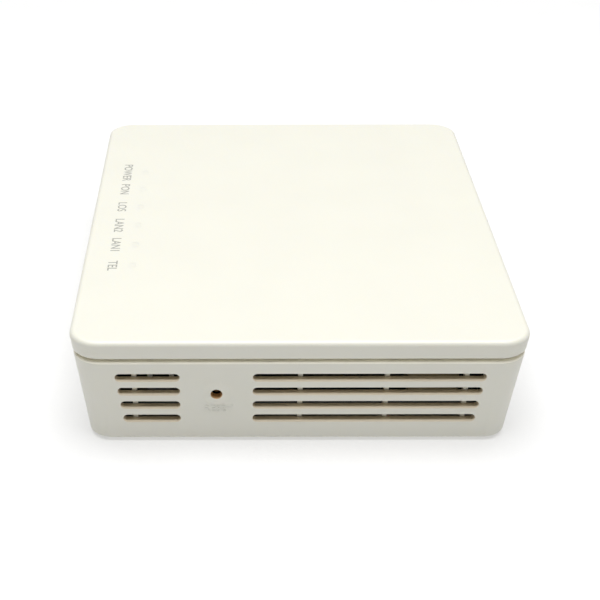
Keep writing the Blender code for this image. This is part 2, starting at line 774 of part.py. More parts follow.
def make_components():
    # Name, material, middle x and y, width, depth and height in millimetres.
    chips = (
        ("soc_chip", chip_black, -2.0, 6.0, 17.0, 17.0, 1.2),
        ("memory_chip", chip_black, -24.0, 8.0, 9.0, 13.0, 1.1),
        ("flash_chip", chip_black, -22.0, 26.0, 6.0, 5.0, 1.7),
        ("line_chip", chip_black, 12.0, -37.0, 8.0, 8.0, 0.9),
        ("lan_transformer_1", chip_black, 25.0, -27.0, 9.6, 12.7, 5.6),
        ("lan_transformer_2", chip_black, 25.0, -8.5, 9.6, 12.7, 5.6),
        ("power_inductor", ferrite, 14.0, 34.0, 7.0, 7.0, 4.0),
        ("shield_can", tin, -4.0, 40.0, 20.0, 16.0, 2.6),
        ("power_transformer", tan_plastic, 32.6, -55.7, 12.4, 6.2, 7.6),
    )
    for name, material, x, y, width, depth, height in chips:
        low, high = on_board(x * MM, y * MM, width * MM, depth * MM, height * MM)
        box_part(name, material, low, high, round_axis=2, radius=0.4 * MM)
    pad_low, pad_high = on_board(-2.0 * MM, 6.0 * MM, 15.0 * MM, 15.0 * MM, 0.8 * MM)
    rise = 1.2 * MM + GAP
    box_part(
        "thermal_pad", thermal_grey,
        (pad_low[0], pad_low[1], pad_low[2] + rise), (pad_high[0], pad_high[1], pad_high[2] + rise),
    )
    make_heatsink(-2.0 * MM, 6.0 * MM, pad_high[2] + rise + GAP)
    low, high = on_board(-14.0 * MM, -16.0 * MM, 4.6 * MM, 11.4 * MM, 3.6 * MM)
    box_part("crystal", tin, low, high, round_axis=2, radius=2.2 * MM)
    capacitors = ((22.0, 44.5, 4.0, 11.0), (12.5, 47.5, 4.0, 11.0), (-22.0, -34.0, 2.6, 6.0))
    for index, (x, y, radius, height) in enumerate(capacitors, 1):
        profile = (
            (0, height), (radius - 0.5, height), (radius, height - 0.5), (radius, 1.6),
            (radius - 0.4, 1.2), (radius, 0.8), (radius, 0), (0, 0),
        )
        turned(f"capacitor_{index}", sleeve, profile, Matrix.Translation((x * MM, y * MM, SEAT_Z)))


# ---------------------------------------------------------------- assembly

clear_scene()
parts = make_collection("optical_network_terminal")
cutters = make_collection("cutters")

white_plastic = make_material("white_plastic", (0.86, 0.85, 0.76), 0.42)
black_plastic = make_material("black_plastic", (0.02, 0.02, 0.02), 0.45)
grey_plastic = make_material("grey_plastic", (0.55, 0.55, 0.52), 0.4)
tan_plastic = make_material("tan_plastic", (0.45, 0.33, 0.16), 0.5)
blue_plastic = make_material("blue_plastic", (0.03, 0.12, 0.45), 0.45)
clear_plastic = make_material("clear_plastic", (0.85, 0.86, 0.82), 0.2)
lamp_resin = make_material("lamp_resin", (0.8, 0.8, 0.6), 0.3)
grey_rubber = make_material("grey_rubber", (0.12, 0.12, 0.12), 0.8)
board_green = make_material("board_green", (0.01, 0.06, 0.03), 0.4)
chip_black = make_material("chip_black", (0.03, 0.03, 0.03), 0.55)
ferrite = make_material("ferrite", (0.10, 0.10, 0.11), 0.6)
thermal_grey = make_material("thermal_grey", (0.35, 0.42, 0.48), 0.8)
aluminium = make_material("aluminium", (0.72, 0.72, 0.74), 0.35, 1.0)
steel = make_material("steel", (0.62, 0.62, 0.62), 0.3, 1.0)
tin = make_material("tin", (0.7, 0.7, 0.7), 0.3, 1.0)
gold = make_material("gold", (0.85, 0.62, 0.25), 0.25, 1.0)
sleeve = make_material("sleeve", (0.03, 0.03, 0.05), 0.35)

LAN_CAVITY = (11.8 * MM, 3.4 * MM, 11.4 * MM, 13.0 * MM)
TEL_CAVITY = (9.8 * MM, 3.2 * MM, 10.6 * MM, 11.5 * MM)

make_top_cover()
make_bottom_housing()
make_feet_and_screws()
make_board()
make_light_guide()
make_lamps()
for number, socket_y in enumerate(LAN_YS, 1):
    make_jack(f"lan_jack_{number}", socket_y, LAN_SIZE, LAN_CAVITY, (6.2 * MM, 1.4 * MM), black_plastic)
    make_contacts(f"lan_contacts_{number}", socket_y, 8, 1.02 * MM, LAN_CAVITY)
make_jack("tel_jack", TEL_Y, TEL_SIZE, TEL_CAVITY, (4.0 * MM, 1.4 * MM), black_plastic)
make_contacts("tel_contacts", TEL_Y, 4, 1.02 * MM, TEL_CAVITY)
make_dc_jack()
make_power_switch()
make_reset_switch()
make_optics()
make_components()
make_debug_header()
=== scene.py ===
"""Looks of the optical network terminal: fine meshes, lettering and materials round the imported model."""

import json
import math

import bmesh
import bpy
from mathutils import Matrix, Vector


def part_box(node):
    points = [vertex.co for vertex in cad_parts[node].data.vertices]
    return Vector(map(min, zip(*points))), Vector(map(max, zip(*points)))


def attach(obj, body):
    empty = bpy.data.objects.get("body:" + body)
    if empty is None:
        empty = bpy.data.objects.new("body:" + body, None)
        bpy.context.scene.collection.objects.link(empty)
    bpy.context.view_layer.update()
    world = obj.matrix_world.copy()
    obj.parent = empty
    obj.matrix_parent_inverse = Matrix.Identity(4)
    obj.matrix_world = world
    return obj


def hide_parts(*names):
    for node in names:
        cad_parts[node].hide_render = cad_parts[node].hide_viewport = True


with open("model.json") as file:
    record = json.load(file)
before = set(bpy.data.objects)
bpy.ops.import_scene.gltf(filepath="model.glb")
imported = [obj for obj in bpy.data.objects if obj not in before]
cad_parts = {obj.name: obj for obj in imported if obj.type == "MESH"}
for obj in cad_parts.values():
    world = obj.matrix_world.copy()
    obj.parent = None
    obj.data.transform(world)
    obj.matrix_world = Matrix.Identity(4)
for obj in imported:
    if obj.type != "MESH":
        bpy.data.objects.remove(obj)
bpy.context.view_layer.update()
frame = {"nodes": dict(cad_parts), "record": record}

MM = 0.001
nodes = frame["nodes"]


# ---------------------------------------------------------------- the case's shape, as the model has it

COVER_LOW, COVER_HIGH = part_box("top_cover")
HOUSING_LOW, HOUSING_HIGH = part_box("bottom_housing")

TOP_Z = COVER_HIGH[2]
BASE_Z = HOUSING_LOW[2]
WIDTH = COVER_HIGH[0] - COVER_LOW[0]
DEPTH = COVER_HIGH[1] - COVER_LOW[1]
SIDE_DRAFT = 3.42 * MM
FRONT_DRAFT = 3.39 * MM
CORNER_RADIUS_TOP = 7.1 * MM
CORNER_RADIUS_BASE = 5.8 * MM
MIN_CORNER_RADIUS = 1.2 * MM
TOP_FILLET = 1.2 * MM
BASE_FILLET = 0.8 * MM
WALL = 1.8 * MM
GAP = 0.3 * MM
SKIRT_BASE_Z = TOP_Z - 4.7 * MM
RIM_Z = TOP_Z - 5.7 * MM
SKIRT_WALL = 1.0 * MM
LIP_INSET = SKIRT_WALL + GAP
LIP_WALL = 0.9 * MM
LIP_TOP_Z = HOUSING_HIGH[2]
SKIRT_FILLET = 0.35 * MM
RIM_FILLET = 0.55 * MM
CEILING_Z = TOP_Z - WALL
FLOOR_Z = BASE_Z + WALL
CORNER_STEPS = 16
FILLET_STEPS = 8

SLOT_HEIGHT = 1.85 * MM
SLOT_PITCH = 4.1 * MM
SLOT_TOP_ROW_Z = 19.53 * MM
SLOT_ROWS = 4
SHORT_SLOT_MARGIN = 9.5 * MM
LONG_SLOT_MARGIN = 9.1 * MM
SHORT_SLOT_INNER_X = -28.1 * MM
LONG_SLOT_INNER_X = -10.95 * MM
SLOT_LIP = 0.45 * MM
SLOT_RIM = 0.07 * MM
RIB_XS = (-38.9 * MM, 0.3 * MM, 20.7 * MM, 39.4 * MM)
RIB_WIDTH = 1.1 * MM
RIB_RECESS = 1.6 * MM
RIB_DEPTH = 1.8 * MM

RESET_X = -19.5 * MM
RESET_Z = 14.7 * MM
RESET_HOLE_RADIUS = 1.35 * MM
RESET_MOUTH = 0.1 * MM
COLLAR_RADIUS = 3.8 * MM
COLLAR_HEIGHT = 0.42 * MM

LAMP_X = -41.0 * MM
LAMP_PITCH = 11.75 * MM
LAMP_HALF = (0.75 * MM, 1.5 * MM)
LAMP_CORNER = 0.7 * MM
LAMP_WORDS = ("POWER", "PON", "LOS", "LAN2", "LAN1", "TEL")
SOCKET_WORDS = (
    ("TEL", "tel_socket", "tel_jack"),
    ("LAN2", "lan2_socket", "lan_jack_1"),
    ("LAN1", "lan1_socket", "lan_jack_2"),
    ("PON", "pon_socket", "optical_receptacle"),
    ("POWER", "power_socket", "dc_jack"),
    ("ON/OFF", "power_switch", "power_button"),
)
LABEL_X = -46.3 * MM
LETTER_HEIGHT = 2.45 * MM
RESET_LETTER_HEIGHT = 1.9 * MM
SOCKET_LETTER_HEIGHT = 1.5 * MM
CAP_SHARE = 0.72
STROKE_GROWTH = 0.012

COLUMN_XY = (47.2 * MM, 58.5 * MM)
COLUMN_RADIUS = 2.9 * MM
COLUMN_TOP_Z = 13.0 * MM
BOSS_RADIUS = 2.5 * MM
BOSS_BASE_Z = 13.3 * MM
SCREW_HOLE_RADIUS = 2.2 * MM
SCREW_HOLE_TOP_Z = 10.0 * MM
FOOT_XY = (36.0 * MM, 51.0 * MM)
FOOT_RECESS_RADIUS = 5.3 * MM
KEYHOLE_YS = (-40.0 * MM, 40.0 * MM)
KEYHOLE_RADIUS = 3.8 * MM
KEYHOLE_NECK_LENGTH = 9.0 * MM
KEYHOLE_NECK_HALF_WIDTH = 2.1 * MM
KEYHOLE_NECK_CORNER = 2.05 * MM
FLOOR_VENT_COUNT = 7
FLOOR_VENT_PITCH = 6.0 * MM
FLOOR_VENT_SIZE = (30.0 * MM, 2.0 * MM)
LABEL_RECESS_LOW = (22.0 * MM, -28.0 * MM)
LABEL_RECESS_HIGH = (44.0 * MM, 28.0 * MM)
LABEL_RECESS_DEPTH = 0.2 * MM
LABEL_RECESS_CORNER = 1.5 * MM

HOLE_EDGE = 0.25 * MM
SMOOTH_ANGLE = 35


def fall(z):
    """How far down the draft a height is: 0 at the foot of the top fillet, 1 at the base."""
    widest_z = TOP_Z - TOP_FILLET
    return max(widest_z - z, 0) / (widest_z - BASE_Z)


def half_width(z):
    return WIDTH / 2 - SIDE_DRAFT * fall(z)


def half_depth(z):
    return DEPTH / 2 - FRONT_DRAFT * fall(z)


WALL_LEAN = math.atan(FRONT_DRAFT / (TOP_Z - TOP_FILLET - BASE_Z))
SIDE_LEAN = math.atan(SIDE_DRAFT / (TOP_Z - TOP_FILLET - BASE_Z))


# ---------------------------------------------------------------- mesh helpers

def new_piece(name, mesh, material=None, body="case"):
    data = bpy.data.meshes.new(name)
    bmesh.ops.recalc_face_normals(mesh, faces=mesh.faces[:])
    mesh.to_mesh(data)
    mesh.free()
    piece = bpy.data.objects.new(name, data)
    bpy.context.scene.collection.objects.link(piece)
    if material:
        data.materials.append(material)
    if body:
        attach(piece, body)
    return piece


def add_box(mesh, low, high, round_axis=None, radius=0.0, steps=6):
    """Adds a box between two corners. The four edges along round_axis (0, 1 or 2) are rounded."""
    size = Vector(high) - Vector(low)
    centre = (Vector(high) + Vector(low)) / 2
    place = Matrix.Translation(centre) @ Matrix.Diagonal((*size, 1.0))
    made = bmesh.ops.create_cube(mesh, size=1.0, matrix=place)
    if round_axis is None:
        return
    edges = {edge for vert in made["verts"] for edge in vert.link_edges}
    along = [
        edge for edge in edges
        if abs((edge.verts[0].co - edge.verts[1].co)[round_axis]) > size[round_axis] / 2
    ]
    bmesh.ops.bevel(mesh, geom=along, offset=radius, segments=steps, profile=0.5, affect="EDGES")


def add_cylinder(mesh, radius, start, end, sides=48):
    start, end = Vector(start), Vector(end)
    turn = (end - start).to_track_quat("Z", "Y").to_matrix().to_4x4()
    bmesh.ops.create_cone(
        mesh, cap_ends=True, segments=sides, radius1=radius, radius2=radius,
        depth=(end - start).length, matrix=Matrix.Translation((start + end) / 2) @ turn,
    )


def skin(mesh, loops):
    """Joins loops of equal point counts and caps both ends."""
    rings = [[mesh.verts.new(point) for point in loop] for loop in loops]
    for lower, upper in zip(rings, rings[1:]):
        for index in range(len(lower)):
            after = (index + 1) % len(lower)
            mesh.faces.new((lower[index], lower[after], upper[after], upper[index]))
    mesh.faces.new(rings[0])
    mesh.faces.new(rings[-1])


def rounded_outline(width, depth, radius, steps=CORNER_STEPS):
    points = []
    for quarter, (side_x, side_y) in enumerate(((1, 1), (-1, 1), (-1, -1), (1, -1))):
        middle_x = side_x * (width / 2 - radius)
        middle_y = side_y * (depth / 2 - radius)
        for step in range(steps + 1):
            angle = math.pi / 2 * (quarter + step / steps)
            points.append((middle_x + radius * math.cos(angle), middle_y + radius * math.sin(angle)))
    return points


def section(z, inset):
    """The case's outline at height z, moved inwards by inset."""
    radius = CORNER_RADIUS_TOP + (CORNER_RADIUS_BASE - CORNER_RADIUS_TOP) * fall(z)
    outline = rounded_outline(
        2 * (half_width(z) - inset), 2 * (half_depth(z) - inset), max(radius - inset, MIN_CORNER_RADIUS)
    )
    return [(x, y, z) for x, y in outline]


def edge_sections(edge_z, inward, radius, inset=0.0):
    """Loops round an outer edge, from its flat face (inward -1: the flat face is above) to the wall."""
    loops = []
    for step in range(FILLET_STEPS + 1):
        angle = math.pi / 2 * step / FILLET_STEPS
        z = edge_z + inward * radius * (1 - math.cos(angle))
        loops.append(section(z, inset + radius * (1 - math.sin(angle))))
    return loops


def soft_hole(mesh, place, outline, depth, edge):
    """A cutter for a hole with a rounded mouth.

    outline(grow) gives its loop, and +Z of place points out of the face.
    """
    loops = [[place @ Vector((x, y, 2 * edge)) for x, y in outline(edge)]]
    for turn in quarter_turns(FILLET_STEPS // 2):
        grow = edge * (1 - math.sin(turn))
        loops.append([place @ Vector((x, y, -edge * (1 - math.cos(turn)))) for x, y in outline(grow)])
    loops.append([place @ Vector((x, y, -depth)) for x, y in outline(0)])
    skin(mesh, loops)


def quarter_turns(steps):
    return [math.pi / 2 * step / steps for step in range(steps + 1)]


def block(mesh, place, width, height, depth, corner, edge):
    """A block that runs back from place's XY plane, with its long edges and end edges rounded."""
    min_corner = 0.06 * MM

    def loop(z, inset):
        radius = max(corner - inset, min_corner)
        outline = rounded_outline(width - 2 * inset, height - 2 * inset, radius, steps=6)
        return [place @ Vector((x, y, z)) for x, y in outline]

    turns = quarter_turns(4)
    back = [loop(-depth + edge * (1 - math.cos(turn)), edge * (1 - math.sin(turn))) for turn in turns]
    front = [loop(-edge * (1 - math.sin(turn)), edge * (1 - math.cos(turn))) for turn in turns]
    skin(mesh, back + front)


def spun(mesh, place, profile, sides=48):
    """Turns a profile of (radius, height) about place's Z axis and caps both ends."""
    turns = [2 * math.pi * index / sides for index in range(sides)]
    skin(mesh, [
        [place @ Vector((radius * math.cos(turn), radius * math.sin(turn), height)) for turn in turns]
        for radius, height in profile
    ])


def outwards_x(x, y, z):
    """Axes on a face that looks along +X: X runs along +Y, Y upwards and Z outwards."""
    axes = Matrix(((0, 0, 1, 0), (1, 0, 0, 0), (0, 1, 0, 0), (0, 0, 0, 1)))
    return Matrix.Translation((x, y, z)) @ axes


def built(name, material, fill, body="case"):
    mesh = bmesh.new()
    fill(mesh)
    return new_piece(name, mesh, material, body)


def stand_for(piece, slot, *replaced):
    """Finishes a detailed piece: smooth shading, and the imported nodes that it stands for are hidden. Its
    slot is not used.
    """
    smooth(piece)
    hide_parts(*replaced)


def stadium(length, height):
    """A level slot's outline. Its ends are a hair under half circles, so that no edge has zero length."""
    def outline(grow):
        radius = height / 2 + grow
        return rounded_outline(length + 2 * grow, 2 * radius, radius * 0.999, steps=8)
    return outline


def boxed(width, height, radius):
    def outline(grow):
        return rounded_outline(width + 2 * grow, height + 2 * grow, radius + grow, steps=5)
    return outline


def combine(piece, fill, operation, material=None):
    """Applies one Boolean with a throwaway tool. The tool's material goes to the faces that it makes."""
    mesh = bmesh.new()
    fill(mesh)
    bmesh.ops.recalc_face_normals(mesh, faces=mesh.faces[:])
    data = bpy.data.meshes.new("tool")
    mesh.to_mesh(data)
    mesh.free()
    data.materials.append(material or piece.data.materials[0])
    other = bpy.data.objects.new("tool", data)
    bpy.context.scene.collection.objects.link(other)
    modifier = piece.modifiers.new("shape", "BOOLEAN")
    modifier.operation = operation
    modifier.solver = "EXACT"
    modifier.material_mode = "TRANSFER"
    modifier.object = other
    with bpy.context.temp_override(object=piece, active_object=piece, selected_objects=[piece]):
        bpy.ops.object.modifier_apply(modifier="shape")
    bpy.data.objects.remove(other, do_unlink=True)
    bpy.data.meshes.remove(data)


def cut(piece, fill, material=None):
    combine(piece, fill, "DIFFERENCE", material)


def join(piece, fill, material=None):
    combine(piece, fill, "UNION", material)


def smooth(piece):
    """Smooth shading that keeps big flat faces flat."""
    data = piece.data
    data.shade_smooth()
    data.set_sharp_from_angle(angle=math.radians(SMOOTH_ANGLE))
    weighted = piece.modifiers.new("flat_faces_first", "WEIGHTED_NORMAL")
    weighted.keep_sharp = True
    weighted.weight = 80


def corners(x, y):
    return [(side_x * x, side_y * y) for side_x in (-1, 1) for side_y in (-1, 1)]


# ---------------------------------------------------------------- materials

def grained(name, colour, roughness, metallic=0.0, grain=3500.0, relief=0.04, mottle=0.03,
            mottle_scale=45.0, smudge=0.10, speck=0.0, subsurface=0.0):
    """A moulded or plated surface: mottled colour, smudged gloss, fine grain and a little dust."""
    material = bpy.data.materials.new(name)
    material.use_nodes = True
    tree = material.node_tree
    make, link = tree.nodes.new, tree.links.new
    shader = tree.nodes["Principled BSDF"]
    shader.inputs["Metallic"].default_value = metallic
    shader.inputs["Subsurface Weight"].default_value = subsurface
    if subsurface:
        shader.inputs["Subsurface Radius"].default_value = (1.0, 0.85, 0.55)
        shader.inputs["Subsurface Scale"].default_value = 1.2 * MM
    place = make("ShaderNodeTexCoord").outputs["Object"]

    def noise(scale, detail=3.0, rough=0.5):
        node = make("ShaderNodeTexNoise")
        node.inputs["Scale"].default_value = scale
        node.inputs["Detail"].default_value = detail
        node.inputs["Roughness"].default_value = rough
        link(place, node.inputs["Vector"])
        return node.outputs["Fac"]

    def ranged(value, low, high, start=0.3, stop=0.7):
        node = make("ShaderNodeMapRange")
        node.inputs["From Min"].default_value = start
        node.inputs["From Max"].default_value = stop
        node.inputs["To Min"].default_value = low
        node.inputs["To Max"].default_value = high
        link(value, node.inputs["Value"])
        return node.outputs["Result"]

    def mix(kind, factor, first, second):
        node = make("ShaderNodeMix")
        node.data_type = "RGBA"
        node.blend_type = kind
        values = ((node.inputs["Factor"], factor), (node.inputs[6], first), (node.inputs[7], second))
        for socket, value in values:
            if hasattr(value, "links"):
                link(value, socket)
            else:
                socket.default_value = value
        return node.outputs[2]

    light = (*(min(c * (1 + mottle), 1.0) for c in colour), 1.0)
    dark = (*(c * (1 - mottle) for c in colour), 1.0)
    tone = mix("MIX", ranged(noise(mottle_scale), 0.0, 1.0), dark, light)
    if speck:
        dust = ranged(noise(2600.0, 1.0), 0.0, speck, 0.72, 0.80)
        tone = mix("MIX", dust, tone, (0.30, 0.27, 0.22, 1.0))
    link(tone, shader.inputs["Base Color"])
    gloss = ranged(noise(80.0, 4.0), roughness * (1 - smudge), roughness * (1 + smudge))
    link(gloss, shader.inputs["Roughness"])
    bump = make("ShaderNodeBump")
    bump.inputs["Strength"].default_value = 1.0
    bump.inputs["Distance"].default_value = relief * MM
    link(noise(grain, 4.0, 0.6), bump.inputs["Height"])
    link(bump.outputs["Normal"], shader.inputs["Normal"])
    return material


white = grained("white_case", (0.744, 0.735, 0.655), 0.42, relief=0.012, mottle=0.006, smudge=0.06,
               speck=0.10, subsurface=0.12)
# Painted shade: a darker, tan copy of the case's white for the slot walls, standing in for the shade inside
# the slots.
slot_painted_shade = grained("slot_painted_shade", (0.73, 0.645, 0.495), 0.5, relief=0.02, mottle=0.03)
# Painted shade: a brown, darker copy of the case's white for the reset hole's bore, standing in for the shade
# inside the hole.
hole_painted_shade = grained("hole_painted_shade", (0.66, 0.45, 0.24), 0.5, relief=0.02, mottle=0.03)
# Painted light: a lighter, warmer copy of the case's white for the seam's faces, painting a highlight on the
# rim and lifting the groove's shade.
seam_painted_light = grained("seam_painted_light", (0.94, 0.91, 0.79), 0.5, relief=0.02, mottle=0.03)
print_grey = grained("print_ink", (0.35, 0.35, 0.32), 0.5, relief=0.01, mottle=0.08, mottle_scale=900.0)
milky = grained("milky_guide", (0.737, 0.728, 0.648), 0.40, relief=0.01, mottle=0.02, subsurface=0.3)
black = grained("black_nylon", (0.022, 0.022, 0.024), 0.42, relief=0.05, mottle=0.25,
                mottle_scale=200.0, speck=0.2)
grey = grained("grey_button", (0.48, 0.48, 0.46), 0.4, relief=0.02, mottle=0.03)
amber = grained("plunger_nylon", (0.78, 0.52, 0.26), 0.45, relief=0.02, mottle=0.06)
tan = grained("tan_tape", (0.30, 0.24, 0.13), 0.45, relief=0.05, mottle=0.12, mottle_scale=300.0)
blue = grained("blue_adapter", (0.03, 0.13, 0.42), 0.42, relief=0.03, mottle=0.10)
rubber = grained("grey_rubber", (0.10, 0.10, 0.10), 0.78, relief=0.08, mottle=0.20,
                 mottle_scale=250.0, speck=0.35)
resin = grained("lamp_resin", (0.80, 0.79, 0.62), 0.2, relief=0.005, mottle=0.05)
chip = grained("chip_resin", (0.028, 0.028, 0.030), 0.55, relief=0.04, mottle=0.2, mottle_scale=400.0)
ferrite = grained("ferrite", (0.09, 0.09, 0.10), 0.6, relief=0.08, mottle=0.25, mottle_scale=500.0)
pad = grained("silicone_pad", (0.30, 0.38, 0.45), 0.8, relief=0.05, mottle=0.1)
steel = grained("plated_steel", (0.62, 0.61, 0.60), 0.28, metallic=1.0, relief=0.01, mottle=0.06, smudge=0.35)
dark_steel = grained("black_zinc", (0.04, 0.04, 0.045), 0.42, metallic=0.6, relief=0.02, mottle=0.2)
tin = grained("tin_plate", (0.68, 0.68, 0.67), 0.33, metallic=1.0, relief=0.02, mottle=0.08, smudge=0.35)
aluminium = grained("anodised", (0.66, 0.67, 0.69), 0.38, metallic=1.0, relief=0.02, mottle=0.05, smudge=0.2)
gold = grained("gold_flash", (0.83, 0.60, 0.24), 0.22, metallic=1.0, relief=0.004, mottle=0.06)
sleeve = grained("shrink_sleeve", (0.025, 0.028, 0.045), 0.3, relief=0.02, mottle=0.15)
laminate = grained("solder_mask", (0.010, 0.016, 0.010), 0.40, relief=0.03, mottle=0.22, mottle_scale=350.0)

SLOT_MATERIALS = {
    "white_plastic": white, "grey_rubber": rubber, "steel": steel, "capacitor_sleeve": sleeve,
    "lamp_resin": resin, "clear_plastic": milky, "gold": gold, "black_plastic": black,
    "grey_plastic": grey, "tan_plastic": tan, "blue_plastic": blue, "board_laminate": laminate,
    "aluminium": aluminium, "thermal_pad": pad, "tinned_steel": tin, "ferrite": ferrite,
    "chip_resin": chip,
}


def dress_cad_nodes():
    """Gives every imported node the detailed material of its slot; the board's screws are blackened."""
    for part in frame["record"]["subparts"]:
        data = nodes[part["node"]].data
        data.materials.clear()
        dark = part["node"].startswith("board_screw")
        data.materials.append(dark_steel if dark else SLOT_MATERIALS[part["material_slot"]])


# ---------------------------------------------------------------- case

def lamp_ys():
    middle = (len(LAMP_WORDS) - 1) / 2
    return [(middle - index) * LAMP_PITCH for index in range(len(LAMP_WORDS))]


def add_lamp_box(mesh, y, low_z, high_z):
    half_x, half_y = LAMP_HALF
    add_box(
        mesh, (LAMP_X - half_x, y - half_y, low_z), (LAMP_X + half_x, y + half_y, high_z),
        round_axis=2, radius=LAMP_CORNER,
    )


def paint_seam_light(piece, low_z, high_z):
    """Paints light into the seam: faces between two heights get a lighter, warmer copy of the case's white,
    which lifts the groove's shade and paints a highlight on the housing's rim.
    """
    piece.data.materials.append(seam_painted_light)
    for face in piece.data.polygons:
        face.material_index = int(low_z < face.center.z < high_z)


def make_cover():
    mesh = bmesh.new()
    skin(mesh, edge_sections(TOP_Z, -1, TOP_FILLET)
         + list(reversed(edge_sections(SKIRT_BASE_Z, 1, SKIRT_FILLET)))
         + [section(SKIRT_BASE_Z, SKIRT_WALL), section(LIP_TOP_Z + SKIRT_WALL, SKIRT_WALL),
            section(CEILING_Z, WALL)])
    cover = new_piece("cover_shell", mesh, white)
    # Painted light on the lower faces of the cover's skirt, in the seam's groove.
    paint_seam_light(cover, COVER_LOW[2], SKIRT_BASE_Z + 0.1 * MM)

    def bosses(mesh):
        for x, y in corners(*COLUMN_XY):
            add_cylinder(mesh, BOSS_RADIUS, (x, y, BOSS_BASE_Z), (x, y, CEILING_Z + WALL / 2), sides=32)

    def windows(mesh):
        for y in lamp_ys():
            add_lamp_box(mesh, y, CEILING_Z - WALL, TOP_Z + WALL)

    join(cover, bosses)
    cut(cover, windows)
    smooth(cover)
    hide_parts("top_cover")


def make_light_guide():
    """A milky rail under the lid with one pipe for each lamp, which ends just below the lid's face."""
    guide_low, guide_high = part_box("light_guide")
    rail_x, rail_z, rail_thickness = LAMP_X + 0.2 * MM, CEILING_Z - 4.0 * MM, 1.6 * MM
    end_z = TOP_Z - 0.01 * MM
    mesh = bmesh.new()
    add_box(
        mesh, (rail_x, guide_low[1], rail_z), (guide_high[0], guide_high[1], rail_z + rail_thickness)
    )
    guide = new_piece("light_guide_moulding", mesh, milky)

    def pipes(mesh):
        for y in lamp_ys():
            add_lamp_box(mesh, y, guide_low[2], end_z)

    join(guide, pipes)
    smooth(guide)
    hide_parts("light_guide")


def wall_loop(side, x, z, outline, depth):
    """An outline about (x, z), laid in the leaning -Y or +Y wall (side -1 or 1) at a depth below its face."""
    return [(x + along, side * (half_depth(z + up) - depth), z + up) for along, up in outline]


def add_slot(mesh, side, low_x, high_x, z):
    """A level slot through a leaning wall: crisp above, with a soft lower lip."""
    def loop(depth, grow):
        lip, rim = SLOT_LIP * grow, SLOT_RIM * grow
        height = SLOT_HEIGHT + lip + rim
        outline = rounded_outline(high_x - low_x + 2 * rim, height, height * 0.499, steps=8)
        return wall_loop(side, (low_x + high_x) / 2, z + (rim - lip) / 2, outline, depth)
    loops = [loop(-SLOT_LIP, 1)]
    loops += [loop(SLOT_LIP * (1 - math.cos(turn)), 1 - math.sin(turn)) for turn in quarter_turns(6)]
    skin(mesh, loops + [loop(2 * WALL, 0)])


def wall_frame(x, z, side=-1):
    """Axes on the -Y or +Y wall: X along it, Y up it and Z out of it."""
    facing = Matrix.Rotation(0 if side < 0 else math.pi, 4, "Z")
    lean = Matrix.Rotation(math.pi / 2 + WALL_LEAN, 4, "X")
    return Matrix.Translation((x, side * half_depth(z), z)) @ facing @ lean


